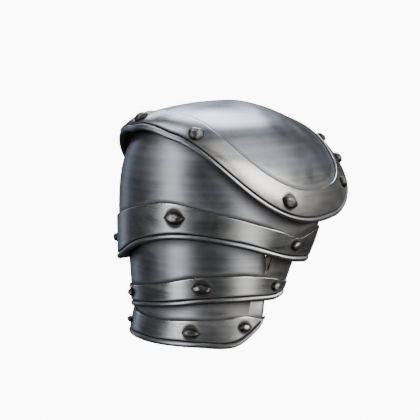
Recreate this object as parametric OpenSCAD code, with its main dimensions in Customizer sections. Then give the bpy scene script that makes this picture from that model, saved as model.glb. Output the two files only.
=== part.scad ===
// Steel pauldron: a domed shoulder cop over three arm lames, each with a raised border
// band, a turned rim and forged rivets. Three inner leathers hold the plates together.
// Frame: origin on the inside of the crown, where the plate sits on the shoulder.
// -Y points outwards from the arm, +Y to the neck, +X to the front, +Z up.
// Angles are turned about Z: 0 is outwards, 90 the front, -90 the rear, 180 the neck.

/* [Steel] */
// Thickness of the plates
plate_thick = 1.6; // [1.2:0.1:2]
// Thickness of the border bands
band_thick = 1.4; // [1:0.1:2]
// Diameter of the turned rims
rim_size = 4.8; // [4:0.1:6]
// Air left between two pieces that lie on each other
gap = 0.45; // [0.3:0.05:0.5]

/* [Cop] */
// Half of the width from front to rear, at the axis of the arm
cop_half = 99.5; // [96:0.5:104]
// How far the plate reaches outwards from its crown
cop_out = 110; // [106:1:118]
// How far the plate reaches to the neck from its crown
cop_neck = 90; // [80:1:110]
// Distance of the crown from the axis of the arm, to the front
crown_x = 5.5; // [0:0.5:8]
// Distance of the crown from the axis of the arm, to the neck
crown_y = 6; // [0:1:12]
// How much wider the plate gets towards the neck, per millimetre
cop_spread = 0.0020; // [0:0.0002:0.0024]
// Squareness of the outline over the arm: 2 is an ellipse
cop_square = 2.45; // [2:0.05:2.6]
// Squareness of the outline at the neck
neck_square = 2.1; // [1.8:0.05:2.6]
// Height of the rim under the crown, outside, over the arm
cop_arch = -20; // [-30:1:-16]
// Height of the front corner of the rim
cop_front = -100; // [-108:1:-92]
// Height of the rear corner of the rim
cop_rear = -80; // [-90:1:-70]
// Height of the rim at the neck
cop_nape = -30; // [-40:1:-24]
// Width of the border band of the cop
cop_band = 28; // [22:1:32]

/* [Upper lame] */
// Radius at the hem
upper_radius = 94; // [93:0.5:96]
// How much the plate draws in over its top 90 mm
upper_draw = 5; // [4:0.5:6]

/* [Middle lame] */
// Radius at the hem
middle_radius = 82.5; // [81:0.5:84]
// How much the plate opens over 90 mm upwards
middle_open = 5; // [3:0.5:6]

/* [Lower lame] */
// Radius at the hem
lower_radius = 84; // [82:0.5:85]
// How much the plate draws in over its top 90 mm
lower_draw = 24; // [20:1:26]

/* [Rivets] */
// Diameter of the shanks
shank = 4; // [3:0.5:5]
// Height of the heads
head_high = 4; // [3:0.5:5]

/* [Leathers] */
// Width of each leather
leather_wide = 18; // [14:1:20]
// Thickness of each leather
leather_thick = 2; // [1.5:0.1:3]

/* [Hidden] */

STEEL = [0.50, 0.51, 0.53];
BRIGHT = [0.60, 0.61, 0.63];
DARK = [0.30, 0.30, 0.31];
HIDE = [0.27, 0.18, 0.12];

cop_columns = 60;
cop_rings = 6;
lame_columns = 30;
lame_rows = 7;
rim = rim_size / 2;
crown_z = plate_thick;
end_bevel = 3.5;
end_drop = 1.6;
round_fn = 32;

// Corners and arches of the cop's rim, [angle, height]
cop_edge_keys = [[-180, cop_nape], [-120, cop_rear], [-34, cop_arch - 2.5], [-20, cop_arch],
    [80, cop_front], [180, cop_nape]];

// Squareness of the dome's profile, [angle, squareness]: 2 is round, less is flatter
cop_profile_keys = [[-180, 1.55], [-90, 2], [60, 2], [130, 1.48], [180, 1.55]];

// Hem and border line of each lame, [angle, height]
upper_hem_keys = [[-94, -152], [-52, -139], [-22, -118], [3, -110], [33, -116],
    [60, -130], [76, -134], [94, -136]];
upper_line_keys = [[-94, -116], [-40, -94], [-10, -81.5], [13, -85], [48, -100],
    [64, -111], [70, -109], [76, -106], [94, -104]];
middle_hem_keys = [[-60, -186], [-46, -182], [-13, -173], [14, -166.5], [38, -164.5],
    [56, -165], [62, -163], [80, -160]];
middle_line_keys = [[-60, -165], [-41, -161], [-13, -152], [10, -144], [34, -142],
    [50, -145], [64, -150], [80, -152]];
lower_hem_keys = [[-70, -214], [-44, -209.5], [-15, -206.5], [10, -204.5], [28, -204.5],
    [36, -201], [52, -184], [60, -178]];
lower_line_keys = [[-70, -188], [-42, -187], [-10, -185], [25, -180.5], [60, -180]];

// Where the draw-in of the upper and the lower lame starts, near their hems
upper_base_keys = [[-94, -161], [-66, -147], [-22, -118], [3, -110], [33, -116], [60, -130],
    [94, -136]];
lower_base_keys = [[-70, -214], [-44, -209.5], [-15, -206.5], [10, -204.5], [60, -203]];

// Each lame: [hem, line, radius at the hem, draw-in over 90 mm, power of the draw-in,
// rear end angle at the hem, its lean per mm, front end angle at the hem, its lean per mm,
// where the draw-in starts]
UPPER = [upper_hem_keys, upper_line_keys, upper_radius, upper_draw, 5.7,
    -92, -0.02, 75, 0.50, upper_base_keys];
MIDDLE = [middle_hem_keys, middle_line_keys, middle_radius, -middle_open, 1,
    -53, -0.30, 63, 0.36, middle_hem_keys];
LOWER = [lower_hem_keys, lower_line_keys, lower_radius, lower_draw, 1.3,
    -66, -0.05, 50, 0.25, lower_base_keys];

// How far each lower plate reaches up behind the hem over it
tuck = 7;
// How far the upper lame reaches up behind the rim of the cop
cop_tuck = 3.5;

// The V cut in the front end of the middle lame: the angle and height of its point, half of
// its width at the top, how far that leans to the front, and its depth
notch_at = 52;
notch_floor = 23;
notch_half = 8;
notch_lean = 2;
notch_deep = 34;

function clamp(v, low, high) = min(max(v, low), high);
function mix(a, b, t) = a + (b - a) * t;
function unit(v) = v / norm(v);
function sign_pow(v, p) = sign(v) * pow(abs(v), p);

// Segment of a key list that holds x
function segment(keys, x, i = 0) = i >= len(keys) - 2 || x < keys[i + 1][0] ? i : segment(keys, x, i + 1);

// Half-cosine waves from key to key: every key is a crest or a trough
function wave(keys, x) =
    let (i = segment(keys, x), t = clamp((x - keys[i][0]) / (keys[i + 1][0] - keys[i][0]), 0, 1))
    mix(keys[i][1], keys[i + 1][1], (1 - cos(180 * t)) / 2);

// Slope of a smooth curve at key i
function slope(keys, i) =
    let (low = max(i - 1, 0), high = min(i + 1, len(keys) - 1))
    (keys[high][1] - keys[low][1]) / (keys[high][0] - keys[low][0]);

// Smooth curve through the keys
function curve(keys, x) =
    let (i = segment(keys, x),
        step = keys[i + 1][0] - keys[i][0],
        t = clamp((x - keys[i][0]) / step, 0, 1),
        t2 = t * t,
        t3 = t2 * t)
    (2 * t3 - 3 * t2 + 1) * keys[i][1] + (t3 - 2 * t2 + t) * step * slope(keys, i)
    + (3 * t2 - 2 * t3) * keys[i + 1][1] + (t3 - t2) * step * slope(keys, i + 1);

// Point on the plan outline of the cop, seen from its crown
function cop_plan(a) =
    let (reach = cos(a) > 0 ? cop_out : cop_neck,
        power = 2 / (cos(a) > 0 ? cop_square : neck_square),
        y = -reach * sign_pow(cos(a), power),
        x = cop_half * sign_pow(sin(a), power))
    [x * (1 + cop_spread * y), y];

// Point of the cop's outer skin at a turn from the rim, 0, to the crown, 90
function cop_skin(a, turn) =
    let (plan = cop_plan(a), edge = wave(cop_edge_keys, a),
        power = 2 / wave(cop_profile_keys, a),
        h = pow(cos(turn), power),
        v = pow(sin(turn), power))
    [crown_x + plan.x * h, crown_y + plan.y * h, edge + (crown_z - edge) * v];

// Turn at which the skin is a straight distance w from the rim, found by halving
function cop_turn(a, w, low = 0, high = 90, tries = 14) =
    let (middle = (low + high) / 2)
    tries == 0 ? middle
        : norm(cop_skin(a, middle) - cop_skin(a, 0)) < w ? cop_turn(a, w, middle, high, tries - 1)
        : cop_turn(a, w, low, middle, tries - 1);

function cop_normal(a, turn) =
    let (t = min(turn, 88), p = cop_skin(a, t))
    unit(cross(cop_skin(a + 0.5, t) - p, cop_skin(a, t + 0.5) - p));

function cop_lift(a, turn, lift) = cop_skin(a, turn) + cop_normal(a, turn) * lift;

// Radius of a lame at height z, then its ends and skin at height s over its hem
function lame_radius(L, a, z) = L[2] - L[3] * sign_pow((z - curve(L[9], a)) / 90, L[4]);
function lame_rear(L, s) = L[5] + L[6] * s;
function lame_front(L, s) = L[7] + L[8] * s;
function lame_angle(L, u, s) = mix(lame_rear(L, s), lame_front(L, s), u);

// How far the skin falls in along the bevel at each end
function end_fall(L, a, s) =
    let (d = min(a - lame_rear(L, s), lame_front(L, s) - a) * L[2] * PI / 180)
    end_drop * (1 - clamp(d / end_bevel, 0, 1));

function lame_skin(L, a, s) =
    let (z = curve(L[0], a) + s, r = lame_radius(L, a, z) - end_fall(L, a, s))
    [r * sin(a), -r * cos(a), z];

function lame_normal(L, a, s) =
    let (z = curve(L[0], a) + s, drop = (lame_radius(L, a, z + 1) - lame_radius(L, a, z - 1)) / 2)
    unit([sin(a), -cos(a), -drop]);

function lame_lift(L, a, s, lift) = lame_skin(L, a, s) + lame_normal(L, a, s) * lift;

// Height over the hem of the top edge, the border line and the rim's crease
function upper_top(a) = wave(cop_edge_keys, a) + cop_tuck - curve(upper_hem_keys, a);
function middle_top(a) = curve(upper_hem_keys, a) + tuck - curve(middle_hem_keys, a);
function lower_top(a) = curve(middle_hem_keys, a) + tuck - curve(lower_hem_keys, a);
function band_top(L, a) = curve(L[1], a) - curve(L[0], a);

// Turned rim in section: [height over the edge, lift], from the outside to the inside
rim_turns = [60, 5, -55, -125, -185, -240];
rim_section = [for (q = rim_turns) [rim + rim * sin(q), rim * cos(q) - plate_thick / 2 + 0.4]];

// A wall swept along columns of points: each column is one closed section
module wall(columns) {
    count = len(columns);
    rows = len(columns[0]);
    points = [for (column = columns) each column];
    sides = [for (i = [0 : count - 2], j = [0 : rows - 1])
        let (k = (j + 1) % rows, b = i * rows, c = (i + 1) * rows)
        each [[b + j, c + k, b + k], [b + j, c + j, c + k]]];
    caps = [for (j = [0 : rows / 2 - 2])
        let (k = rows - 1 - j, e = (count - 1) * rows)
        each [[j, j + 1, k], [j + 1, k - 1, k],
            [e + j, e + k, e + j + 1], [e + j + 1, e + k, e + k - 1]]];
    polyhedron(points, concat(sides, caps), convexity = 8);
}

// A ring whose first and last rows are closed by fans, at an outer and an inner apex
module bowl(columns, outer, inner) {
    count = len(columns);
    rows = len(columns[0]);
    points = concat([for (column = columns) each column], [outer, inner]);
    sides = [for (i = [0 : count - 1], j = [0 : rows - 2])
        let (k = j + 1, b = i * rows, c = ((i + 1) % count) * rows)
        each [[b + j, c + k, b + k], [b + j, c + j, c + k]]];
    fans = [for (i = [0 : count - 1])
        let (b = i * rows, c = ((i + 1) % count) * rows, top = count * rows)
        each [[b, top, c], [b + rows - 1, c + rows - 1, top + 1]]];
    polyhedron(points, concat(sides, fans), convexity = 8);
}

// Turns of the cop's rings, from near the crown down to the turned rim
function cop_turns(a) =
    let (low = cop_turn(a, rim_size), band = cop_turn(a, cop_band))
    concat([for (i = [0 : cop_rings - 1]) mix(86, band, i / cop_rings)],
        [band, mix(band, low, 0.5), low]);

function cop_section(a) =
    let (turns = cop_turns(a), last = len(turns) - 1)
    concat([for (t = turns) cop_lift(a, t, 0)],
        [for (p = rim_section) cop_lift(a, cop_turn(a, p[0]), p[1])],
        [for (i = [last : -1 : 0]) cop_lift(a, turns[i], -plate_thick)]);

module cop_shell() {
    columns = [for (i = [0 : cop_columns - 1]) cop_section(i * 360 / cop_columns - 180)];
    crown = cop_skin(0, 90);
    bowl(columns, crown, crown - [0, 0, plate_thick]);
}

// The band of the cop is one strip; its ends meet at the neck, this many degrees from 180
band_joint = 0.25;

function cop_band_section(a) =
    let (low = cop_turn(a, rim_size + 0.6), high = cop_turn(a, cop_band),
        top = gap + band_thick)
    [for (p = [[high, gap], [high, top * 0.75], [mix(high, low, 0.05), top],
        [mix(high, low, 0.5), top], [low, top], [low, gap], [mix(high, low, 0.5), gap],
        [mix(high, low, 0.05), gap]]) cop_lift(a, p[0], p[1])];

// Places along a lame: the two end bevels and even columns between them
function lame_places(L) =
    let (edge = end_bevel / (L[2] * PI / 180 * (L[7] - L[5])))
    concat([0], [for (i = [0 : lame_columns]) mix(edge, 1 - edge, i / lame_columns)], [1]);

// Section of a lame at place u; tops holds the height of the top edge at each angle
function lame_section(L, u, top) =
    let (heights = [for (i = [0 : lame_rows]) mix(top, rim_size, pow(i / lame_rows, 1.4))])
    concat([for (s = heights) lame_lift(L, lame_angle(L, u, s), s, 0)],
        [for (p = rim_section) lame_lift(L, lame_angle(L, u, p[0]), p[0], p[1])],
        [for (i = [lame_rows : -1 : 0])
            lame_lift(L, lame_angle(L, u, heights[i]), heights[i], -plate_thick)]);

function lame_band_section(L, u) =
    let (a0 = lame_angle(L, u, 12), high = band_top(L, a0), low = rim_size + 0.6,
        top = gap + band_thick)
    [for (p = [[high, gap], [high, top * 0.75], [high - 1.2, top], [mix(high, low, 0.5), top],
        [low, top], [low, gap], [mix(high, low, 0.5), gap], [high - 1.2, gap]])
        lame_lift(L, lame_angle(L, u, p[0]), p[0], p[1])];

// Rivets: [angle, distance from the edge, length of the head, width of the head]
cop_rivets = [[-29, 13, 12, 12], [8.5, 13.5, 13, 13], [62, 14.5, 17, 11], [107, 17, 11, 11],
    [128, 15, 11, 11], [146, 13, 11, 11], [-173, 13, 11, 11], [-125, 13, 11, 11], [-65, 14, 12, 12]];
upper_rivets = [[-66, 20, 12, 8], [0, 18, 19, 11], [65, 14, 12, 9]];
middle_rivets = [[-46, 13, 9, 7], [13, 14, 18, 9], [57, 12, 10, 8]];
lower_rivets = [[-55, 13, 10, 6], [6, 12, 16, 8], [38, 12, 12, 8]];

// Turns a piece whose axis is +Z onto the direction n, its +X along the horizontal
module aim(p, n) {
    around = atan2(n.y, n.x);
    translate(p)
        rotate([0, 0, around])
            rotate([0, acos(clamp(n.z, -1, 1)), 0])
                rotate([0, 0, 90])
                    children();
}

module at_cop(rivet) {
    turn = cop_turn(rivet[0], rivet[1]);
    aim(cop_skin(rivet[0], turn), cop_normal(rivet[0], turn))
        children();
}

module at_lame(L, rivet) {
    aim(lame_skin(L, rivet[0], rivet[1]), lame_normal(L, rivet[0], rivet[1]))
        children();
}

// Depth of a shank under the skin, through a plate alone or through a leather as well
plate_deep = plate_thick + 1;
leather_deep = plate_thick + leather_thick + 2.2;

// Forged head: a low dome cut to a pointed oval by two round sides, on its shank
module rivet(long, wide, deep) {
    seat = 2 * gap + band_thick;
    side = (long * long + wide * wide) / (4 * wide);
    ball = (long * long / 4 + head_high * head_high) / (2 * head_high);
    translate([0, 0, seat])
        intersection() {
            translate([0, 0, head_high - ball])
                sphere(r = ball, $fn = round_fn);
            if (wide < long)
                translate([0, side - wide / 2, 0])
                    cylinder(r = side, h = head_high, $fn = round_fn);
            else
                cylinder(r = long, h = head_high, $fn = round_fn);
            if (wide < long)
                translate([0, wide / 2 - side, 0])
                    cylinder(r = side, h = head_high, $fn = round_fn);
            else
                cylinder(r = long, h = head_high, $fn = round_fn);
        }
    translate([0, 0, -deep])
        cylinder(d = shank, h = seat + deep + 0.5, $fn = round_fn);
}

// Clearance hole for a shank
module hole() {
    translate([0, 0, -8])
        cylinder(d = shank + 2 * gap, h = 16, $fn = round_fn);
}

module cop_plate() {
    color(STEEL)
        difference() {
            cop_shell();
            for (r = cop_rivets)
                at_cop(r) hole();
        }
}

module cop_border() {
    end = 180 - band_joint;
    columns = [for (i = [0 : cop_columns])
        cop_band_section(clamp(i * 360 / cop_columns - 180, -end, end))];
    color(BRIGHT)
        difference() {
            wall(columns);
            for (r = cop_rivets)
                at_cop(r) hole();
        }
}

module lame_plate(L, tops, rivets) {
    places = lame_places(L);
    color(STEEL)
        difference() {
            wall([for (i = [0 : len(places) - 1]) lame_section(L, places[i], tops[i])]);
            for (r = rivets)
                at_lame(L, r) hole();
            children();
        }
}

module lame_border(L, rivets) {
    color(BRIGHT)
        difference() {
            wall([for (u = lame_places(L)) lame_band_section(L, u)]);
            for (r = rivets)
                at_lame(L, r) hole();
        }
}

module upper_lame_plate() {
    tops = [for (u = lame_places(UPPER)) upper_top(lame_angle(UPPER, u, 50))];
    lame_plate(UPPER, tops, upper_rivets);
}

module upper_lame_border() {
    lame_border(UPPER, upper_rivets);
}

// Wedge that cuts the V into the top of the middle lame
module notch() {
    aim(lame_skin(MIDDLE, notch_at, notch_floor), lame_normal(MIDDLE, notch_at, notch_floor))
        translate([0, 0, -8])
            linear_extrude(height = 16)
                polygon([[0, 0], [-notch_half - notch_lean, notch_deep], [notch_half - notch_lean, notch_deep]]);
}

module middle_lame_plate() {
    tops = [for (u = lame_places(MIDDLE)) middle_top(lame_angle(MIDDLE, u, 50))];
    lame_plate(MIDDLE, tops, middle_rivets) notch();
}

module middle_lame_border() {
    lame_border(MIDDLE, middle_rivets);
}

module lower_lame_plate() {
    tops = [for (u = lame_places(LOWER)) lower_top(lame_angle(LOWER, u, 35))];
    lame_plate(LOWER, tops, lower_rivets);
}

module lower_lame_border() {
    lame_border(LOWER, lower_rivets);
}

// Height of a rivet of a lame
function rivet_height(L, rivet) = curve(L[0], rivet[0]) + rivet[1];

// Half of the angle that a leather covers, and the angles it has behind the three lames
leather_half = leather_wide / 2 / 80 * 180 / PI;
front_angles = [64, 55, 34];
centre_angles = [1, 11, 7];
rear_angles = [-66, -43, -55];

// Distances from the cop's rim at which each leather lies in the cop, from its end on. The
// rear leather joins the lames alone: it starts over the rivet of the upper lame.
front_places = [22, 18, 14];
centre_places = [8, 14, 20, 25, 29];
rear_places = [];
rear_start = 3;

// Clear height over the edge of a plate that a leather passes
leather_clear = 0.8;
// How far a leather goes below the axis of a rivet, and below the last one
rivet_flat = 3;
leather_tail = 5.5;

// Highest point of a list of keys over the width of a leather
function highest(keys, a) = max([for (side = [-1 : 0.5 : 1]) curve(keys, a + side * leather_half)]);

// Where a leather lies under the skin of a plate, and how its width is divided
leather_under = plate_thick + 2.6 * gap;
across = [-1, -0.5, 0, 0.5, 1];

// How much the rim of the cop climbs over half of the width of a leather
function leather_tilt(a) =
    (wave(cop_edge_keys, a + leather_half) - wave(cop_edge_keys, a - leather_half)) / 2;

// Place of a leather in a lame, clear over its width: [height, angle, radius, climb]
function behind(L, a, z, climb = 0) =
    [z, a, min([for (side = [-1, 0, 1]) lame_radius(L, a + side * leather_half, z + side * climb)])
        - leather_under, climb];

// Course of a leather from the top of the upper lame down to its tail
function leather_course(angles, start, upper, middle, lower) =
    let (tilt = leather_tilt(start),
        top = wave(cop_edge_keys, start) + cop_tuck,
        first = rivet_height(UPPER, upper),
        second = rivet_height(MIDDLE, middle),
        third = rivet_height(LOWER, lower),
        shelf = highest(upper_hem_keys, angles[0]) + tuck + leather_clear,
        step = highest(middle_hem_keys, mix(angles[1], angles[2], 0.2)) + tuck + leather_clear,
        turn = mix(angles[0], angles[1], 0.15),
        bend = mix(angles[1], angles[2], 0.2))
    [behind(UPPER, start, top + 1, tilt),
        behind(UPPER, start, top - 3, tilt),
        behind(UPPER, mix(start, angles[0], 0.5), mix(top, first, 0.4), tilt / 2),
        behind(UPPER, angles[0], mix(top, first, 0.75)),
        behind(UPPER, angles[0], first + rivet_flat),
        behind(UPPER, angles[0], max(first - rivet_flat, shelf + 2)),
        behind(MIDDLE, turn, shelf),
        behind(MIDDLE, mix(turn, angles[1], 0.5), mix(shelf, second, 0.5)),
        behind(MIDDLE, angles[1], second + rivet_flat),
        behind(MIDDLE, angles[1], max(second - rivet_flat, step + 2)),
        behind(LOWER, bend, step),
        behind(LOWER, mix(bend, angles[2], 0.6), mix(step, third, 0.6)),
        behind(LOWER, angles[2], third - leather_tail)];

// Inward normal of the course at place i, as [radius, height]
function course_normal(course, i) =
    let (a = course[max(i - 1, 0)], b = course[min(i + 1, len(course) - 1)],
        along = unit([b[2] - a[2], b[0] - a[0]]))
    [along.y, -along.x];

function leather_point(place, side, shift) =
    let (r = place[2] + shift[0], a = place[1] + side * leather_half)
    [r * sin(a), -r * cos(a), place[0] + side * place[3] + shift[1]];

// Point of a leather in the cop, w from the rim and beside the angle a
function cop_leather_point(a, w, side, under) =
    let (b = a + side * leather_half) cop_lift(b, cop_turn(b, w), -under);

module leather(angles, cop, places, rivets) {
    seat = cop_skin(cop[0], cop_turn(cop[0], cop[1]));
    start = atan2(seat.x, -seat.y);
    course = leather_course(angles, start, rivets[0], rivets[1], rivets[2]);
    head = [for (w = places)
        concat([for (side = across) cop_leather_point(cop[0], w, -side, leather_under)],
            [for (side = across)
                cop_leather_point(cop[0], w, side, leather_under + leather_thick)])];
    body = [for (i = [len(places) > 0 ? 0 : rear_start : len(course) - 1])
        concat([for (side = across) leather_point(course[i], -side, [0, 0])],
            [for (side = across)
                leather_point(course[i], side, course_normal(course, i) * leather_thick)])];
    color(HIDE)
        difference() {
            wall(concat(head, body));
            at_cop(cop) hole();
            at_lame(UPPER, rivets[0]) hole();
            at_lame(MIDDLE, rivets[1]) hole();
            at_lame(LOWER, rivets[2]) hole();
        }
}

module leather_front() {
    leather(front_angles, cop_rivets[2], front_places,
        [upper_rivets[2], middle_rivets[2], lower_rivets[2]]);
}

module leather_centre() {
    leather(centre_angles, cop_rivets[1], centre_places,
        [upper_rivets[1], middle_rivets[1], lower_rivets[1]]);
}

module leather_rear() {
    leather(rear_angles, cop_rivets[8], rear_places,
        [upper_rivets[0], middle_rivets[0], lower_rivets[0]]);
}

module cop_rivet(i, deep) {
    r = cop_rivets[i];
    color(DARK)
        at_cop(r) rivet(r[2], r[3], deep);
}

module lame_rivet(L, r) {
    color(DARK)
        at_lame(L, r) rivet(r[2], r[3], leather_deep);
}

cop_plate();
cop_border();
upper_lame_plate();
upper_lame_border();
middle_lame_plate();
middle_lame_border();
lower_lame_plate();
lower_lame_border();
leather_front();
leather_centre();
leather_rear();
cop_rivet(0, plate_deep);  // cop_rivet_1
cop_rivet(1, leather_deep);  // cop_rivet_2
cop_rivet(2, leather_deep);  // cop_rivet_3
cop_rivet(3, plate_deep);  // cop_rivet_4
cop_rivet(4, plate_deep);  // cop_rivet_5
cop_rivet(5, plate_deep);  // cop_rivet_6
cop_rivet(6, plate_deep);  // cop_rivet_7
cop_rivet(7, plate_deep);  // cop_rivet_8
cop_rivet(8, plate_deep);  // cop_rivet_9
lame_rivet(UPPER, upper_rivets[0]);  // upper_rivet_rear
lame_rivet(UPPER, upper_rivets[1]);  // upper_rivet_centre
lame_rivet(UPPER, upper_rivets[2]);  // upper_rivet_front
lame_rivet(MIDDLE, middle_rivets[0]);  // middle_rivet_rear
lame_rivet(MIDDLE, middle_rivets[1]);  // middle_rivet_centre
lame_rivet(MIDDLE, middle_rivets[2]);  // middle_rivet_front
lame_rivet(LOWER, lower_rivets[0]);  // lower_rivet_rear
lame_rivet(LOWER, lower_rivets[1]);  // lower_rivet_centre
lame_rivet(LOWER, lower_rivets[2]);  // lower_rivet_front
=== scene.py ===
"""Steel pauldron: plates, bands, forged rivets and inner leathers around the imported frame."""

import math
from functools import lru_cache
from random import Random

import bmesh
import bpy
from bpy.props import FloatProperty, FloatVectorProperty, IntProperty, PointerProperty
from mathutils import Matrix, Vector


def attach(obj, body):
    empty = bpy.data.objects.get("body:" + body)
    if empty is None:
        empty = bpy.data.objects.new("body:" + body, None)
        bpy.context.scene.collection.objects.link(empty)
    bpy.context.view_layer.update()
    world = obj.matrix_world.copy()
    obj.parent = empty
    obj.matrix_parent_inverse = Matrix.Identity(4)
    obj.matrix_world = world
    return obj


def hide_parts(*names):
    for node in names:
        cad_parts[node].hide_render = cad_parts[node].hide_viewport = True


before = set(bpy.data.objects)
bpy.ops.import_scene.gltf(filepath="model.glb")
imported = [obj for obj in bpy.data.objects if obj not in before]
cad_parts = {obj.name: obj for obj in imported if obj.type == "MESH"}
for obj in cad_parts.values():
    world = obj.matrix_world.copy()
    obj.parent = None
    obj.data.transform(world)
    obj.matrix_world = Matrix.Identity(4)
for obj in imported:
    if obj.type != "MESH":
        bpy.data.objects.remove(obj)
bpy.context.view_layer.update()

bl_info = {
    "name": "Steel pauldron",
    "version": (1, 0, 0),
    "blender": (4, 5, 0),
    "location": "3D View > Sidebar > Pauldron",
    "description": "Builds a riveted steel pauldron with its stage",
    "category": "Add Mesh",
}

MM = 0.001

# The forms below are worked out in millimetres, with angles in degrees turned about Z:
# 0 is outwards from the arm, 90 the front, -90 the rear and 180 the neck.
PLATE = 1.6
GAP = 0.45
BAND = 1.4
# The turned rim: height of its axis over the edge, radius of the roll, how far its axis
# stands off the skin, and the turns at which the sweep of the roll starts and stops
RIM = 2.4
ROLL = 2.8
ROLL_OFF = -0.4
ROLL_FROM, ROLL_TO = 60, -240
# Where the skin meets the roll, and where the band starts
RIM_SIZE = 2 * RIM
LINE_AT = RIM_SIZE + 0.6

# The cop's plan: half of its width, its reach outwards and to the neck, the place of its
# crown, how much it widens to the neck, and the squareness of its two sides
COP_HALF = 99.5
COP_OUT = 110
COP_NECK = 90
CROWN = (5.5, 6)
COP_SPREAD = 0.002
COP_SQUARE = 2.45
NECK_SQUARE = 2.1
# Width of its band from the rim, and half of the joint between the band's two ends
COP_BAND = 28
BAND_JOINT = 0.25

# Height of the cop's rim, and squareness of the dome's profile, as (angle, value)
COP_EDGE = ((-180, -30), (-120, -80), (-34, -22.5), (-20, -20), (80, -100), (180, -30))
COP_PROFILE = ((-180, 1.55), (-90, 2), (60, 2), (130, 1.48), (180, 1.55))

# The lames: the hem, the top line of the band and the line the radius is measured from, as
# (angle, height)
UPPER_HEM = ((-94, -152), (-52, -139), (-22, -118), (3, -110), (33, -116), (60, -130),
             (76, -134), (94, -136))
UPPER_LINE = ((-94, -116), (-40, -94), (-10, -81.5), (13, -85), (48, -100), (64, -111),
              (70, -109), (76, -106), (94, -104))
UPPER_BASE = ((-94, -161), (-66, -147), (-22, -118), (3, -110), (33, -116), (60, -130),
              (94, -136))
MIDDLE_HEM = ((-60, -186), (-46, -182), (-13, -173), (14, -166.5), (38, -164.5), (56, -165),
              (62, -163), (80, -160))
MIDDLE_LINE = ((-60, -165), (-41, -161), (-13, -152), (10, -144), (34, -142), (50, -145),
               (64, -150), (80, -152))
LOWER_HEM = ((-70, -214), (-44, -209.5), (-15, -206.5), (10, -204.5), (28, -204.5), (36, -201),
             (52, -184), (60, -178))
LOWER_LINE = ((-70, -188), (-42, -187), (-10, -185), (25, -180.5), (60, -180))
LOWER_BASE = ((-70, -214), (-44, -209.5), (-15, -206.5), (10, -204.5), (60, -203))

# How far a lame goes up behind the plate over it, and behind the cop
TUCK = 7
COP_TUCK = 3.5
# Width and depth of the bevel along each end of a lame
END_BEVEL = 3.5
END_DROP = 1.6
# Height over the hem at which the ends of a lame are measured for its top edge
TOP_AT = 50

# The V cut in the middle lame: angle and height of its point, then the lean of its two
# sides in millimetres of arc for each millimetre of height
NOTCH_AT = 52
NOTCH_FLOOR = 23
NOTCH_REAR = 6 / 34
NOTCH_FRONT = 10 / 34

# Rivets: (angle, distance from the edge, length of the head, width of the head)
COP_RIVETS = ((-29, 13, 12, 12), (8.5, 13.5, 13, 13), (62, 14.5, 17, 11), (107, 17, 11, 11),
              (128, 15, 11, 11), (146, 13, 11, 11), (-173, 13, 11, 11), (-125, 13, 11, 11),
              (-65, 14, 12, 12))
# Lean of each head from level, and places of the rivets of a lame
COP_LEANS = (0, 0, -28, 0, 0, 0, 0, 0, 0)
UPPER_RIVETS = ((-66, 20, 12, 8), (0, 18, 19, 11), (65, 14, 12, 9))
MIDDLE_RIVETS = ((-46, 13, 9, 7), (13, 14, 18, 9), (57, 12, 10, 8))
LOWER_RIVETS = ((-55, 13, 10, 6), (6, 12, 16, 8), (38, 12, 12, 8))
RIVET_PLACES = ("rear", "centre", "front")


def mix(a, b, t):
    return a + (b - a) * t


def clamp(value, low=0.0, high=1.0):
    return min(max(value, low), high)


def near(distance, reach):
    """1 at no distance, falling smoothly to nothing at the reach."""
    t = clamp(1 - abs(distance) / reach)
    return t * t * (3 - 2 * t)


def signed_power(value, power):
    return math.copysign(abs(value) ** power, value)


def segment(keys, x):
    """Index of the key that the stretch holding x starts from."""
    i = 0
    while i < len(keys) - 2 and x >= keys[i + 1][0]:
        i += 1
    return i


def wave(keys, x):
    """Half-cosine waves, with a crest or a trough at every key."""
    (x0, y0), (x1, y1) = keys[segment(keys, x)], keys[segment(keys, x) + 1]
    return mix(y0, y1, (1 - math.cos(math.pi * clamp((x - x0) / (x1 - x0)))) / 2)


def slope(keys, i):
    low, high = keys[max(i - 1, 0)], keys[min(i + 1, len(keys) - 1)]
    return (high[1] - low[1]) / (high[0] - low[0])


def curve(keys, x):
    """Smooth curve through the keys."""
    i = segment(keys, x)
    (x0, y0), (x1, y1) = keys[i], keys[i + 1]
    step = x1 - x0
    t = clamp((x - x0) / step)
    return ((2 * t**3 - 3 * t**2 + 1) * y0 + (t**3 - 2 * t**2 + t) * step * slope(keys, i)
            + (3 * t**2 - 2 * t**3) * y1 + (t**3 - t**2) * step * slope(keys, i + 1))


def polar(radius, angle, height):
    turn = math.radians(angle)
    return Vector((radius * math.sin(turn), -radius * math.cos(turn), height))


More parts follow.
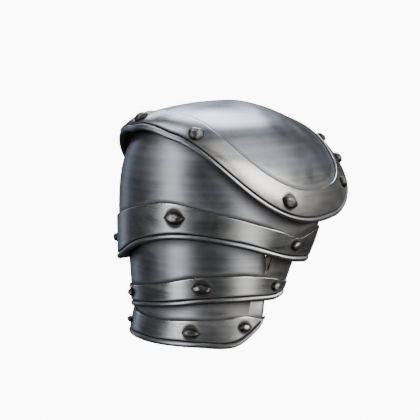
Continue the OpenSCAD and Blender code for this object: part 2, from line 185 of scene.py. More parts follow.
class Cop:
    """The domed plate over the shoulder."""

    columns = 288
    halvings = 18
    # Turn past which the normal is taken below the crown, and how rows crowd to the band
    steepest = 88
    crowding = 0.8

    @staticmethod
    @lru_cache(maxsize=None)
    def skin(angle, turn):
        """Point of the outer skin at a turn from the rim, 0, to the crown, 90."""
        around, up = math.radians(angle), math.radians(turn)
        outwards = math.cos(around) > 0
        power = 2 / (COP_SQUARE if outwards else NECK_SQUARE)
        y = -(COP_OUT if outwards else COP_NECK) * signed_power(math.cos(around), power)
        x = COP_HALF * signed_power(math.sin(around), power) * (1 + COP_SPREAD * y)
        edge = wave(COP_EDGE, angle)
        bulge = 2 / wave(COP_PROFILE, angle)
        flat, high = abs(math.cos(up)) ** bulge, math.sin(up) ** bulge
        return Vector((CROWN[0] + x * flat, CROWN[1] + y * flat, edge + (PLATE - edge) * high))

    @classmethod
    @lru_cache(maxsize=None)
    def turn(cls, angle, distance):
        """Turn at which the skin is a straight distance from the rim."""
        low, high = 0.0, 90.0
        for _ in range(cls.halvings):
            middle = (low + high) / 2
            if (cls.skin(angle, middle) - cls.skin(angle, 0)).length < distance:
                low = middle
            else:
                high = middle
        return middle

    @classmethod
    @lru_cache(maxsize=None)
    def normal(cls, angle, turn):
        t = min(turn, cls.steepest)
        point = cls.skin(angle, t)
        along, up = cls.skin(angle + 0.5, t) - point, cls.skin(angle, t + 0.5) - point
        return along.cross(up).normalized()

    @classmethod
    def place(cls, angle, distance, lift):
        turn = cls.turn(angle, distance)
        return cls.skin(angle, turn) + cls.normal(angle, turn) * lift

    @classmethod
    def above_band(cls, angle, share):
        """Point of the dome at a share of the way from the crown down to the band."""
        return cls.skin(angle, mix(90, cls.turn(angle, COP_BAND), share ** cls.crowding))


class Lame:
    """One of the plates over the arm, bent round Z, with its band."""

    columns_per_degree = 1.6
    # Height over which the radius draws in by the whole of its draw
    draw_height = 90
    notch_step = 0.25

    def __init__(self, hem, line, radius, draw, power, rear, front, base, top, notch=False):
        """The ends are each an angle at the hem and a lean in degrees per millimetre."""
        self.hem, self.line_keys, self.base = hem, line, base
        self.radius_at_hem, self.draw, self.power = radius, draw, power
        self.rear, self.front = rear, front
        self.top_height, self.notch = top, notch
        self.columns = int((front[0] - rear[0]) * self.columns_per_degree)

    def radius(self, angle, z):
        return self.radius_at_hem - self.draw * signed_power(
            (z - curve(self.base, angle)) / self.draw_height, self.power)

    def angle(self, u, height):
        return mix(self.rear[0] + self.rear[1] * height, self.front[0] + self.front[1] * height, u)

    def end_fall(self, angle, height):
        """How far the skin falls in along the bevel at each end."""
        arc = min(angle - self.angle(0, height), self.angle(1, height) - angle)
        return END_DROP * (1 - clamp(arc * math.radians(self.radius_at_hem) / END_BEVEL))

    def place(self, angle, height, lift):
        z = curve(self.hem, angle) + height
        radius = self.radius(angle, z) - self.end_fall(angle, height)
        drop = (self.radius(angle, z + 1) - self.radius(angle, z - 1)) / 2
        normal = polar(1, angle, -drop).normalized()
        return polar(radius, angle, z) + normal * lift

    def normal_at(self, angle, height):
        return (self.place(angle, height, 1) - self.place(angle, height, 0)).normalized()

    def line(self, angle):
        return curve(self.line_keys, angle) - curve(self.hem, angle)

    def in_notch(self, angle, height):
        arc = (angle - NOTCH_AT) * math.radians(self.radius_at_hem)
        rise = height - NOTCH_FLOOR
        return self.notch and -NOTCH_REAR * rise < arc < NOTCH_FRONT * rise

    def top(self, u):
        """Height of the top edge over the hem along a column, stopped at the V cut."""
        angle = self.angle(u, TOP_AT)
        height = self.top_height(angle) - curve(self.hem, angle)
        rise = NOTCH_FLOOR
        while rise < height:
            if self.in_notch(self.angle(u, rise), rise):
                return rise
            rise += self.notch_step
        return height


LAMES = {
    "upper": Lame(UPPER_HEM, UPPER_LINE, 94, 5, 5.7, (-92, -0.02), (75, 0.50), UPPER_BASE,
                  lambda a: wave(COP_EDGE, a) + COP_TUCK),
    "middle": Lame(MIDDLE_HEM, MIDDLE_LINE, 82.5, -5, 1, (-53, -0.30), (63, 0.36), MIDDLE_HEM,
                   lambda a: curve(UPPER_HEM, a) + TUCK, notch=True),
    "lower": Lame(LOWER_HEM, LOWER_LINE, 84, 24, 1.3, (-66, -0.05), (50, 0.25), LOWER_BASE,
                  lambda a: curve(MIDDLE_HEM, a) + TUCK),
}
LAME_RIVETS = {"upper": UPPER_RIVETS, "middle": MIDDLE_RIVETS, "lower": LOWER_RIVETS}


class Value:
    """A number at a socket. Arithmetic on values adds Math nodes."""

    def __init__(self, finish, socket):
        self.finish, self.socket = finish, socket

    def _maths(self, operation, *inputs):
        node = self.finish.add("ShaderNodeMath", {"operation": operation}, dict(enumerate(inputs)))
        return Value(self.finish, node.outputs[0])

    def __add__(self, other):
        return self._maths("ADD", self, other)

    def __radd__(self, other):
        return self._maths("ADD", other, self)

    def __sub__(self, other):
        return self._maths("SUBTRACT", self, other)

    def __rsub__(self, other):
        return self._maths("SUBTRACT", other, self)

    def __mul__(self, other):
        return self._maths("MULTIPLY", self, other)

    def __rmul__(self, other):
        return self._maths("MULTIPLY", other, self)

    def between(self, low, high):
        """0 under low, 1 over high, and straight between them."""
        node = self.finish.add("ShaderNodeMapRange", {"clamp": True},
                               {"Value": self, "From Min": low, "From Max": high})
        return Value(self.finish, node.outputs["Result"])


class Finish:
    """One material and the nodes that make it."""

    def __init__(self, name):
        self.material = bpy.data.materials.new(name)
        self.material.use_nodes = True
        self.tree = self.material.node_tree
        self.shader = self.tree.nodes["Principled BSDF"]
        self.object_place = self.add("ShaderNodeTexCoord").outputs["Object"]

    def add(self, kind, settings=None, inputs=None):
        """Adds a node, with its settings first and then the values or links of its inputs."""
        node = self.tree.nodes.new(kind)
        for key, value in (settings or {}).items():
            setattr(node, key, value)
        for key, value in (inputs or {}).items():
            self.feed(node.inputs[key], value)
        return node

    def feed(self, socket, value):
        if isinstance(value, Value):
            self.tree.links.new(value.socket, socket)
        elif isinstance(value, bpy.types.NodeSocket):
            self.tree.links.new(value, socket)
        else:
            socket.default_value = value

    def stretched(self, scale, turn=(0, 0, 0)):
        """Object coordinates scaled, and turned, for one pattern."""
        return self.add("ShaderNodeMapping", None, {
            "Vector": self.object_place, "Scale": scale, "Rotation": turn}).outputs["Vector"]

    def noise(self, place, scale, detail=3.0, roughness=0.55, distortion=0.0):
        node = self.add("ShaderNodeTexNoise", None, {
            "Vector": place, "Scale": scale, "Detail": detail, "Roughness": roughness,
            "Distortion": distortion})
        return Value(self, node.outputs["Fac"])

    def cells(self, place, scale):
        node = self.add("ShaderNodeTexVoronoi", None, {"Vector": place, "Scale": scale})
        return Value(self, node.outputs["Distance"])

    def mark(self, name):
        """A number painted on the piece's own mesh."""
        node = self.add("ShaderNodeAttribute", {"attribute_name": name})
        return Value(self, node.outputs["Fac"])

    def blend(self, mask, first, second, kind="MIX"):
        """Two colours mixed by a mask."""
        node = self.add("ShaderNodeMix", {"data_type": "RGBA", "blend_type": kind})
        for socket, value in zip((node.inputs[0], node.inputs[6], node.inputs[7]),
                                 (mask, first, second)):
            self.feed(socket, value)
        return node.outputs[2]

    def bump(self, height, depth, strength=1.0):
        node = self.add("ShaderNodeBump", None, {
            "Height": height, "Distance": depth, "Strength": strength})
        self.feed(self.shader.inputs["Normal"], node.outputs["Normal"])

    def surface(self, **sockets):
        for key, value in sockets.items():
            self.feed(self.shader.inputs[key.replace("_", " ").title()], value)


def shade(colour, factor):
    return tuple(c * factor for c in colour[:3]) + (1.0,)


def brushed_steel(name, colour, roughness, brush_scale, seed):
    """Dark steel with fine brush lines, edges lightened both as worn metal and as painted
    highlights, and painted shade darkening its corners.
    """
    finish = Finish(name)
    lines = finish.noise(finish.stretched(brush_scale), 1.0, 4.0, 0.65)
    broad = finish.noise(finish.stretched(tuple(s * 0.16 for s in brush_scale)), 1.0, 2.0)
    clouds = finish.noise(finish.stretched((1, 1, 1.4), (0.3, 0.5, seed)), 26.0, 4.0, 0.6, 0.4)
    stains = finish.noise(finish.stretched((1, 1, 1), (seed, 0.2, 1)), 9.0, 3.0, 0.5, 0.8)
    scratch_lines = finish.noise(finish.stretched((40, 900, 60), (0.4, 0.2, 0.5 + seed)), 1.0, 2.0)
    more_lines = finish.noise(finish.stretched((700, 30, 90), (0.9, 0.4, seed)), 1.0, 2.0)
    scratches = scratch_lines.between(0.70, 0.78) + more_lines.between(0.71, 0.79)
    wear_and_highlight, painted_shade = finish.mark("wear_and_highlight"), finish.mark("painted_shade")
    shade_amount = (painted_shade * (0.55 + clouds * 0.9)).between(0.05, 0.95)
    worn_and_highlit = (wear_and_highlight * (0.5 + lines * 0.9)).between(0.25, 0.85)
    tone = finish.blend((clouds * 0.6 + broad * 0.4).between(0.35, 0.65),
                        shade(colour, 0.74), shade(colour, 1.22))
    tone = finish.blend(stains.between(0.52, 0.72) * 0.35, tone, shade((0.30, 0.27, 0.24), 0.8))
    # Painted shade: the steel is darkened nearly to black, and roughened, in corners, creases and
    # under other plates.
    tone = finish.blend(shade_amount * 0.85, tone, (0.035, 0.032, 0.030, 1))
    # Lighter, smoother steel along edges and crests, as worn metal and as painted highlight.
    tone = finish.blend((worn_and_highlit * 0.8 + scratches * 0.1).between(0, 1), tone,
                        (0.56, 0.56, 0.56, 1))
    gloss = (roughness + (clouds - 0.5) * 0.26 + (broad - 0.5) * 0.08 + (lines - 0.5) * 0.12
             + shade_amount * 0.3 - worn_and_highlit * 0.10)
    finish.surface(base_color=tone, metallic=1.0, roughness=gloss.between(0, 1),
                   anisotropic=0.35)
    finish.bump(lines * 0.5 + broad * 0.1 + clouds * 1.6 - scratches * 0.15,
                0.00006, 0.55)
    return finish.material


def forged_iron(name, colour):
    """Dark iron with hammer marks, its crowns lightened as worn iron and painted highlight, with
    painted shade at the foot of each head.
    """
    finish = Finish(name)
    dents = finish.cells(finish.stretched((1, 1, 1), (0.4, 0.1, 0.2)), 260.0)
    scale = finish.noise(finish.stretched((1, 1, 1)), 700.0, 4.0, 0.65)
    patches = finish.noise(finish.stretched((1, 1, 1)), 150.0, 3.0)
    wear_and_highlight, painted_shade = finish.mark("wear_and_highlight"), finish.mark("painted_shade")
    worn_and_highlit = (wear_and_highlight * (0.35 + patches * 1.3)).between(0.35, 0.85)
    tone = finish.blend(patches.between(0.35, 0.65), shade(colour, 0.6), shade(colour, 1.5))
    # Painted shade at the foot of the head.
    tone = finish.blend(painted_shade * 0.8, tone, (0.02, 0.018, 0.016, 1))
    # Lighter crowns, as worn iron and painted highlight.
    tone = finish.blend(worn_and_highlit * 0.6, tone, (0.26, 0.25, 0.24, 1))
    finish.surface(base_color=tone, metallic=1.0,
                   roughness=(0.46 + (scale - 0.5) * 0.35 - worn_and_highlit * 0.14).between(0, 1))
    finish.bump(dents * 1.0 + scale * 0.35, 0.0005, 0.8)
    return finish.material


def oiled_leather(name, colour):
    """Thick strap leather: grain, creases and clouded tone."""
    finish = Finish(name)
    grain = finish.cells(finish.stretched((1, 1, 1)), 900.0)
    pores = finish.noise(finish.stretched((1, 1, 1)), 2400.0, 2.0)
    creases = finish.noise(finish.stretched((60, 60, 420)), 1.0, 3.0, 0.6, 0.6)
    clouds = finish.noise(finish.stretched((1, 1, 1)), 40.0, 4.0)
    tone = finish.blend(clouds.between(0.35, 0.65), shade(colour, 0.6), shade(colour, 1.5))
    tone = finish.blend(grain.between(0.25, 0.05) * 0.5, tone, shade(colour, 0.35))
    tone = finish.blend(creases.between(0.60, 0.72) * 0.5, tone, shade(colour, 2.1))
    gloss = 0.52 + (clouds - 0.5) * 0.3 + pores * 0.1
    finish.surface(base_color=tone, roughness=gloss.between(0, 1), metallic=0.0)
    finish.bump(grain * 0.8 + pores * 0.3 + creases * 0.8, 0.0003, 0.8)
    return finish.material


def pale_floor(name, colour):
    """Matt, nearly white studio paper."""
    finish = Finish(name)
    fibres = finish.noise(finish.stretched((1, 1, 1)), 60.0, 3.0)
    tone = finish.blend(fibres * 0.1, shade(colour, 1), shade(colour, 0.95))
    finish.surface(base_color=tone, roughness=0.9, emission_strength=4.5,
                   emission_color=(1, 1, 1, 1))
    return finish.material


def link_piece(name, mesh_maker, material, nodes=()):
    """Makes a piece from a bmesh and sets its finish; a piece standing in for nodes is hung from
    the root, and those nodes are hidden.
    """
    mesh = bpy.data.meshes.new(name)
    mesh_maker.to_mesh(mesh)
    mesh_maker.free()
    mesh.materials.append(material)
    mesh.shade_smooth()
    piece = bpy.data.objects.new(name, mesh)
    bpy.context.scene.collection.objects.link(piece)
    if nodes:
        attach(piece, "root")
        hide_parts(*nodes)
    return piece


def sheet(columns, rows, place, closed=False):
    """A grid whose points are put by place(u, row), which gives (point in mm, lightening for worn
    edges and painted highlights, painted shade).

    A closed sheet meets itself at its seam and its pole, which are merged.
    """
    grid = bmesh.new()
    bmesh.ops.create_grid(grid, x_segments=columns, y_segments=rows, size=0.5)
    wear_and_highlight_mark = grid.verts.layers.float.new("wear_and_highlight")
    painted_shade_mark = grid.verts.layers.float.new("painted_shade")
    for vert in grid.verts:
        point, vert[wear_and_highlight_mark], vert[painted_shade_mark] = place(
            vert.co.x + 0.5, round((0.5 - vert.co.y) * rows))
        vert.co = point * MM
    if closed:
        bmesh.ops.remove_doubles(grid, verts=grid.verts, dist=0.01 * MM)
    return grid


def face_outwards(bm, weight):
    """Turns an open sheet so that its faces look away from the axis of the arm."""
    if sum(face.normal.dot(face.calc_center_median() * weight) for face in bm.faces) < 0:
        bmesh.ops.reverse_faces(bm, faces=bm.faces)


def thicken(piece, depth, edge):
    """Gives a sheet its thickness, inwards, and rounds its cut edges."""
    wall = piece.modifiers.new("thickness", "SOLIDIFY")
    wall.thickness, wall.offset, wall.use_even_offset = depth, -1, False
    rounding = piece.modifiers.new("rounded edges", "BEVEL")
    rounding.width, rounding.segments, rounding.limit_method = edge, 2, "ANGLE"
    rounding.angle_limit = math.radians(40)


def rivet_frame(point, normal, lean=0.0):
    """Place of a rivet: Z out of the plate, X level along it but for a lean in degrees."""
    along = Vector((0, 0, 1)).cross(normal).normalized()
    along = Matrix.Rotation(math.radians(lean), 3, normal) @ along
    turn = Matrix((along, normal.cross(along), normal)).transposed().to_4x4()
    return Matrix.Translation(point * MM) @ turn


def near_rivets(point, rivets, points):
    """How close a point is to the edge of a head, from 0 to 1."""
    return max(near(max((point - centre).length - rivet[2] * 0.36, 0), 3.5)
               for rivet, centre in zip(rivets, points))


class PauldronPlates(bpy.types.PropertyGroup):
    """Thicknesses and finishes of the plates."""

    thickness: FloatProperty(name="Plate thickness", description="Thickness of the steel plates",
                             default=PLATE * MM, min=0.001, max=0.002, unit="LENGTH")
    band: FloatProperty(name="Band thickness", description="Thickness of the border bands",
                        default=BAND * MM, min=0.001, max=0.002, unit="LENGTH")
    steel: FloatVectorProperty(name="Plate steel", description="Colour of the plates",
                               subtype="COLOR", default=(0.24, 0.25, 0.27), min=0, max=1)
    bright: FloatVectorProperty(name="Band steel", description="Colour of the bands",
                                subtype="COLOR", default=(0.28, 0.285, 0.29), min=0, max=1)
    polish: FloatProperty(name="Roughness", description="Roughness of the brushed steel",
                          default=0.33, min=0.1, max=0.8, subtype="FACTOR")


class PauldronFittings(bpy.types.PropertyGroup):
    """Rivets and leathers."""

    head: FloatProperty(name="Head height", description="Height of the rivet heads",
                        default=0.004, min=0.003, max=0.005, unit="LENGTH")
    facets: IntProperty(name="Hammer flats", description="Flats hammered on each head",
                        default=7, min=3, max=12)
    iron: FloatVectorProperty(name="Iron", description="Colour of the rivets",
                              subtype="COLOR", default=(0.06, 0.06, 0.058), min=0, max=1)
    # Colour of the leathers, darkened nearly to black so that the front strap behind the V cut
    # stands there as painted shade.
    hide: FloatVectorProperty(name="Hide", description="Colour of the leathers",
                              subtype="COLOR", default=(0.014, 0.009, 0.007), min=0, max=1)


class PauldronStage(bpy.types.PropertyGroup):
    """Floor and camera."""

    drop: FloatProperty(name="Floor level", description="Height of the floor",
                        default=-0.34, unit="LENGTH")
    paper: FloatVectorProperty(name="Paper", description="Colour of the floor",
                               subtype="COLOR", default=(0.9, 0.9, 0.9), min=0, max=1)
    azimuth: FloatProperty(name="Azimuth", description="Angle of the camera about the piece",
                           default=math.radians(25), unit="ROTATION")
    elevation: FloatProperty(name="Elevation", description="Height angle of the camera",
                             default=math.radians(9), unit="ROTATION")
    reach: FloatProperty(name="Distance", description="Distance from the camera to its target",
                         default=0.85, unit="LENGTH")


class PAULDRON_OT_plates(bpy.types.Operator):
    """Adds the cop and the lames, each with its turned rim"""

    bl_idname = "pauldron.plates"
    bl_label = "Plates"

    dome_rows = 72
    band_rows = 20
    roll_rows = 18
    lame_rows = 44
    # Radius of the cut edges
    edge = 0.0003

    def roll(self, place, angle_at, step):
        """Point of the turned rim, from its outer crease round to the inner skin."""
        q = mix(ROLL_FROM, ROLL_TO, step / self.roll_rows)
        height = RIM + ROLL * math.sin(math.radians(q))
        lift = ROLL * math.cos(math.radians(q)) + ROLL_OFF
        # Lighter along the outermost curve of the roll, as worn steel and painted highlight.
        worn_and_highlit = near(q - 15, 40) * 0.5
        # Painted shade in the crease where the roll meets the skin, and along the underside of the
        # roll.
        crease_shade = max(near(q - 62, 26), 1 - near(q - 10, 110))
        return place(angle_at(height), height, lift), worn_and_highlit, crease_shade

    def cop(self, material, thickness):
        skin_rows = self.dome_rows + self.band_rows

        def place(u, row):
            angle = u * 360 - 180
            if row > skin_rows:
                return self.roll(Cop.place, lambda _h: angle, row - skin_rows - 1)
            if row > self.dome_rows:
                t = (row - self.dome_rows) / self.band_rows
                # Full painted shade on the skin under the band.
                return Cop.place(angle, mix(COP_BAND, RIM_SIZE, t), 0), 0, 1
            point = Cop.above_band(angle, row / self.dome_rows)
            # Painted shade on the dome next to the band's raised edge.
            distance = (point - Cop.place(angle, COP_BAND, 0)).length
            return point, 0, near(distance, 7) * 0.8

        rows = skin_rows + self.roll_rows + 1
        bm = sheet(Cop.columns, rows, place, closed=True)
        bmesh.ops.recalc_face_normals(bm, faces=bm.faces)
        piece = link_piece("cop_skin", bm, material, ["cop_plate"])
        thicken(piece, thickness, self.edge)

    def lame(self, name, lame, material, thickness):
        skin_rows = self.lame_rows
        tops = [lame.top(i / lame.columns) for i in range(lame.columns + 1)]

        def place(u, row):
            if row > skin_rows:
                return self.roll(lame.place, lambda h: lame.angle(u, h), row - skin_rows - 1)
            top = tops[round(u * lame.columns)]
            height = mix(top, RIM_SIZE, (row / skin_rows) ** 1.15)
            angle = lame.angle(u, height)
            over = height - lame.line(angle)
            end = min(angle - lame.angle(0, height), lame.angle(1, height) - angle)
            # Lighter at the end bevels and the top edge, as worn steel and painted highlight.
            worn_and_highlit = near(end * 1.55 - END_BEVEL, 1.2) * 0.6 + near(top - height, 1.5) * 0.7
            # Painted shadow on the top of the lame, under the plate over it.
            under_plate_shade = near(top - height, 20) if top > 30 else 0
            # Painted shade just above the band's edge, and full painted shade under the band.
            shade_amount = max(near(over, 5) * 0.9, under_plate_shade) if over > 0 else 1
            return lame.place(angle, height, 0), worn_and_highlit, shade_amount

        bm = sheet(lame.columns, skin_rows + self.roll_rows + 1, place)
        bmesh.ops.recalc_face_normals(bm, faces=bm.faces)
        face_outwards(bm, Vector((1, 1, 0)))
        piece = link_piece(f"{name}_lame_skin", bm, material, [f"{name}_lame_plate"])
        thicken(piece, thickness, self.edge)

    def execute(self, context):
        sizes = context.scene.pauldron_plates
        dome = brushed_steel("Dome steel", sizes.steel, sizes.polish, (14, 14, 1500), 0.3)
        arm = brushed_steel("Arm steel", sizes.steel, sizes.polish + 0.03, (10, 10, 1300), 0.8)
        self.cop(dome, sizes.thickness)
        for name, lame in LAMES.items():
            self.lame(name, lame, arm, sizes.thickness)
        return {"FINISHED"}


class PAULDRON_OT_bands(bpy.types.Operator):
    """Adds the raised border bands"""

    bl_idname = "pauldron.bands"
    bl_label = "Border bands"

    rows = 26
    edge = 0.0005
    # Height at which the end of a lame's band is measured for its line
    line_at = 12

    def band(self, name, plate, rivets, material, thickness, closed):
        centres = [plate.place(a, w, GAP + BAND) for a, w, _, _ in rivets]
        lift = GAP + thickness / MM

        def place(u, row):
            if closed:
                angle = clamp(u * 360 - 180, BAND_JOINT - 180, 180 - BAND_JOINT)
                high = COP_BAND
            else:
                high = plate.line(plate.angle(u, self.line_at))
            height = mix(high, LINE_AT, row / self.rows)
            if not closed:
                angle = plate.angle(u, height)
            point = plate.place(angle, height, lift)
            # Lighter along the band's top edge, as worn steel and painted highlight.
            worn_and_highlit = near(high - height, 1.8)
            # Painted shade round the rivet heads and along the band's lower edge by the rim.
            band_shade = max(near_rivets(point, rivets, centres), near(height - LINE_AT, 2.2) * 0.8)
            return point, worn_and_highlit, band_shade

        bm = sheet(plate.columns, self.rows, place)
        bmesh.ops.recalc_face_normals(bm, faces=bm.faces)
        face_outwards(bm, Vector((1, 1, 0)))
        piece = link_piece(f"{name}_band", bm, material, [f"{name}_border"])
        thicken(piece, thickness, self.edge)

    def execute(self, context):
        sizes = context.scene.pauldron_plates
        bright = brushed_steel("Band steel", sizes.bright, sizes.polish - 0.02,
                               (16, 16, 1500), 0.5)
        self.band("cop", Cop, COP_RIVETS, bright, sizes.band, True)
        for name, lame in LAMES.items():
            self.band(f"{name}_lame", lame, LAME_RIVETS[name], bright, sizes.band, False)
        return {"FINISHED"}


class PAULDRON_OT_rivets(bpy.types.Operator):
    """Adds the forged rivets"""

    bl_idname = "pauldron.rivets"
    bl_label = "Rivets"

    # Height of a head's underside over the skin, radius of a shank, depth of a head's flat
    # underside, and how much a pointed head draws in to its ends, all in millimetres
    seat = 2 * GAP + BAND
    shank = 2
    underside = 0.32
    pinch = 0.32
    # Depth of a shank under the skin, through a leather or through the plate alone
    through = PLATE + 2 + 2.2
    alone = PLATE + 1
    with_leather = (1, 2)

    def rivet(self, name, node, place, rivet, material, sizes, seed, deep):
        """A low domed head, a pointed oval or round, hammered flat in places, on its shank."""
        _, _, long, wide = rivet
        height = sizes.head / MM
        bm = bmesh.new()
        wear_and_highlight_mark = bm.verts.layers.float.new("wear_and_highlight")
        painted_shade_mark = bm.verts.layers.float.new("painted_shade")
        bmesh.ops.create_uvsphere(bm, u_segments=40, v_segments=24, radius=1)
        for vert in bm.verts:
            x, y, z = vert.co
            pinch = max(1 - x * x, 0) ** self.pinch if wide < long else 1
            vert.co = (x * long / 2, y * pinch * wide / 2,
                       z * height if z > 0 else max(z * 4, -self.underside))
        self.hammer(bm, sizes.facets, wide / long, Random(seed))
        for vert in bm.verts:
            out = Vector((vert.co.x / long, vert.co.y / wide)).length * 2
            # Lighter crown, as worn iron and painted highlight.
            vert[wear_and_highlight_mark] = near(1 - vert.co.z / height, 0.8)
            # Painted shade round the foot of the head, where it sits on the band.
            vert[painted_shade_mark] = clamp(1.4 * out - 0.6) * near(vert.co.z, 2.2)
        reach = deep + self.seat
        tail = bmesh.ops.create_cone(bm, cap_ends=True, segments=24, radius1=self.shank,
                                     radius2=self.shank, depth=reach - 0.2)
        bmesh.ops.translate(bm, verts=tail["verts"], vec=(0, 0, -reach / 2))
        bm.transform(place @ Matrix.Translation((0, 0, self.seat * MM))
                     @ Matrix.Diagonal((MM, MM, MM, 1)))
        piece = link_piece(name, bm, material, [node])
        edges = piece.modifiers.new("softened flats", "BEVEL")
        edges.width, edges.segments, edges.limit_method = 0.00025, 2, "ANGLE"
        edges.angle_limit = math.radians(14)

    @staticmethod
    def hammer(bm, flats, slimness, draws):
        """Cuts flats into a head, each a little way under its surface."""
        for _ in range(flats):
            turn = draws.uniform(0, 2 * math.pi)
            rise = math.radians(draws.uniform(28, 78))
            out = math.cos(rise)
            blow = Vector((math.cos(turn) * out * slimness, math.sin(turn) * out,
                           math.sin(rise))).normalized()
            reach = max(blow.dot(vert.co) for vert in bm.verts)
            cut = bmesh.ops.bisect_plane(
                bm, geom=bm.verts[:] + bm.edges[:] + bm.faces[:],
                plane_co=blow * reach * draws.uniform(0.88, 0.95), plane_no=blow,
                clear_outer=True)
            rim = [edge for edge in cut["geom_cut"] if isinstance(edge, bmesh.types.BMEdge)]
            bmesh.ops.holes_fill(bm, edges=rim, sides=0)

    def execute(self, context):
        sizes = context.scene.pauldron_fittings
        iron = forged_iron("Forged iron", sizes.iron)
        for i, rivet in enumerate(COP_RIVETS):
            angle, distance = rivet[:2]
            turn = Cop.turn(angle, distance)
            place = rivet_frame(Cop.skin(angle, turn), Cop.normal(angle, turn), COP_LEANS[i])
            deep = self.through if i in self.with_leather else self.alone
            self.rivet(f"cop_head_{i + 1}", f"cop_rivet_{i + 1}", place, rivet, iron, sizes,
                       i + 3, deep)
        for row, (name, lame) in enumerate(LAMES.items()):
            for i, (rivet, side) in enumerate(zip(LAME_RIVETS[name], RIVET_PLACES)):
                angle, height = rivet[:2]
                place = rivet_frame(lame.place(angle, height, 0), lame.normal_at(angle, height))
                self.rivet(f"{name}_head_{side}", f"{name}_rivet_{side}", place, rivet, iron,
                           sizes, 20 + row * 3 + i, self.through)
        return {"FINISHED"}


class PAULDRON_OT_leathers(bpy.types.Operator):
    """Adds the inner leathers, the front one eased over behind the V cut, where its near-black
    leather fills the cut as painted shade
    """

    bl_idname = "pauldron.leathers"
    bl_label = "Leathers"

    # Turn of the front strap about this height, which puts it behind the V cut as a dark sheet
    # standing in for the shade of the opening.
    ease_height = -0.140
    ease_reach = 0.026
    ease_angle = -5.0

    def strap(self, name, eased, material):
        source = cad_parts[name]
        bm = bmesh.new()
        bm.from_mesh(source.data)
        bmesh.ops.transform(bm, matrix=source.matrix_world, verts=bm.verts)
        bmesh.ops.remove_doubles(bm, verts=bm.verts, dist=0.000002)
        if eased:
            for vert in bm.verts:
                turn = self.ease_angle * near(vert.co.z - self.ease_height, self.ease_reach)
                vert.co = Matrix.Rotation(math.radians(turn), 3, "Z") @ vert.co
        piece = link_piece(name.replace("leather", "strap"), bm, material, [name])
        piece.data.set_sharp_from_angle(angle=math.radians(40))
        edges = piece.modifiers.new("worn edges", "BEVEL")
        edges.width, edges.segments, edges.limit_method = 0.0004, 2, "ANGLE"
        edges.angle_limit = math.radians(50)

    def execute(self, context):
        hide = oiled_leather("Oiled leather", context.scene.pauldron_fittings.hide)
        self.strap("leather_front", True, hide)
        self.strap("leather_centre", False, hide)
        self.strap("leather_rear", False, hide)
        return {"FINISHED"}


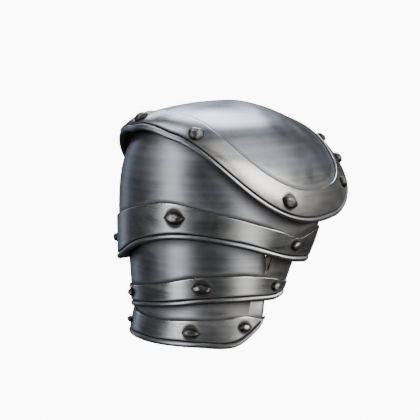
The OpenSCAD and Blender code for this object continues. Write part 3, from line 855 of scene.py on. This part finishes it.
class PAULDRON_OT_stage(bpy.types.Operator):
    """Adds the floor, the lights and the camera"""

    bl_idname = "pauldron.stage"
    bl_label = "Stage"

    # Light panels: name, azimuth, elevation, distance from the piece, (width, height), power
    # and colour
    panels = (
        ("left panel", -29, 4, 1.6, (0.40, 2.2), 19, (1.0, 1.0, 1.0)),
        ("right panel", 54, -2, 1.6, (0.52, 1.9), 14, (1.0, 0.98, 0.94)),
        ("warm window", 92, 20, 1.6, (0.80, 0.70), 26, (1.0, 0.95, 0.88)),
        ("sky", -172, 52, 1.7, (0.90, 0.70), 27, (0.80, 0.89, 1.0)),
        ("high sky", -60, 72, 1.7, (0.80, 0.70), 9, (0.86, 0.92, 1.0)),
        ("wide right sky", 104, 46, 1.8, (1.9, 0.8), 11, (0.97, 0.98, 1.0)),
        ("rear left panel", -106, 2, 1.7, (0.30, 1.5), 2.2, (0.70, 0.82, 1.0)),
        ("rear left sky", -140, 34, 1.7, (0.60, 0.60), 6, (0.80, 0.89, 1.0)),
    )
    # Width of the film in millimetres, and width of what the camera sees at its target
    film = 36
    view_width = 0.378
    # Where the camera looks, to its right and upwards from the origin
    aim = (-0.0108, -0.0978)
    lit_centre = (0, 0, -0.1)
    floor_radius = 2.6
    bend_radius = 1.4
    bend_steps = 10
    wall_height = 3.0

    def panel(self, name, azimuth, elevation, reach, size, power, colour):
        light = bpy.data.lights.new(name, "AREA")
        light.shape, light.size, light.size_y = "RECTANGLE", size[0], size[1]
        light.energy, light.color = power, colour
        lamp = bpy.data.objects.new(name, light)
        up = math.radians(elevation)
        centre = Vector(self.lit_centre)
        lamp.location = centre + polar(reach * math.cos(up), azimuth, reach * math.sin(up))
        lamp.rotation_euler = (centre - lamp.location).to_track_quat("-Z", "Y").to_euler()
        bpy.context.scene.collection.objects.link(lamp)

    def floor(self, level, material):
        """Paper laid flat in a round and bent up into a wall all about it."""
        bm = bmesh.new()
        bmesh.ops.create_circle(bm, cap_ends=True, segments=96, radius=self.floor_radius)
        bmesh.ops.translate(bm, verts=bm.verts, vec=(0, 0, level))
        rim = bm.edges[:]
        quarter = math.pi / 2
        stride = self.bend_radius * quarter / self.bend_steps
        turns = [(step + 0.5) / self.bend_steps * quarter for step in range(self.bend_steps)]
        strides = [(stride * math.cos(turn), stride * math.sin(turn)) for turn in turns]
        reach = self.floor_radius
        for out, rise in strides + [(0, self.wall_height)]:
            ring = bmesh.ops.extrude_edge_only(bm, edges=rim)["geom"]
            verts = [part for part in ring if isinstance(part, bmesh.types.BMVert)]
            rim = [part for part in ring if isinstance(part, bmesh.types.BMEdge)]
            widen = (reach + out) / reach
            bmesh.ops.scale(bm, verts=verts, vec=(widen, widen, 1))
            bmesh.ops.translate(bm, verts=verts, vec=(0, 0, rise))
            reach += out
        bmesh.ops.recalc_face_normals(bm, faces=bm.faces)
        piece = link_piece("floor", bm, material)
        piece.visible_glossy = False

    def execute(self, context):
        sizes = context.scene.pauldron_stage
        self.floor(sizes.drop, pale_floor("Paper", sizes.paper))
        for settings in self.panels:
            self.panel(*settings)
        world = bpy.data.worlds.new("Studio")
        world.use_nodes = True
        backdrop = world.node_tree.nodes["Background"]
        backdrop.inputs["Color"].default_value = (0.75, 0.78, 0.82, 1)
        backdrop.inputs["Strength"].default_value = 0.11
        context.scene.world = world
        azimuth, elevation = sizes.azimuth, sizes.elevation
        right = Vector((math.cos(azimuth), math.sin(azimuth), 0))
        back = Vector((math.sin(azimuth) * math.cos(elevation),
                       -math.cos(azimuth) * math.cos(elevation), math.sin(elevation)))
        up = back.cross(right)
        target = right * self.aim[0] + up * self.aim[1]
        camera_data = bpy.data.cameras.new("Camera")
        camera_data.sensor_width = self.film
        camera_data.lens = self.film * sizes.reach / self.view_width
        camera_data.clip_end = 60
        camera = bpy.data.objects.new("Camera", camera_data)
        camera.matrix_world = Matrix.Translation(target + back * sizes.reach) @ Matrix(
            (right, up, back)).transposed().to_4x4()
        context.scene.collection.objects.link(camera)
        context.scene.camera = camera
        return {"FINISHED"}


class PAULDRON_PT_panel(bpy.types.Panel):
    """Lists the steps that build the pauldron"""

    bl_label = "Pauldron"
    bl_idname = "PAULDRON_PT_panel"
    bl_space_type = "VIEW_3D"
    bl_region_type = "UI"
    bl_category = "Pauldron"

    def draw(self, context):
        for name, group in GROUPS.items():
            for setting in group.__annotations__:
                self.layout.prop(getattr(context.scene, name), setting)
        for step in STEPS:
            self.layout.operator(step.bl_idname)


GROUPS = {
    "pauldron_plates": PauldronPlates,
    "pauldron_fittings": PauldronFittings,
    "pauldron_stage": PauldronStage,
}
STEPS = (PAULDRON_OT_plates, PAULDRON_OT_bands, PAULDRON_OT_rivets, PAULDRON_OT_leathers,
         PAULDRON_OT_stage)


def register():
    for name, group in GROUPS.items():
        bpy.utils.register_class(group)
        setattr(bpy.types.Scene, name, PointerProperty(type=group))
    for cls in STEPS + (PAULDRON_PT_panel,):
        bpy.utils.register_class(cls)


def unregister():
    for cls in (PAULDRON_PT_panel,) + STEPS[::-1]:
        bpy.utils.unregister_class(cls)
    for name, group in GROUPS.items():
        delattr(bpy.types.Scene, name)
        bpy.utils.unregister_class(group)


def main():
    register()
    bpy.ops.pauldron.plates()
    bpy.ops.pauldron.bands()
    bpy.ops.pauldron.rivets()
    bpy.ops.pauldron.leathers()
    bpy.ops.pauldron.stage()


if __name__ == "__main__":
    main()
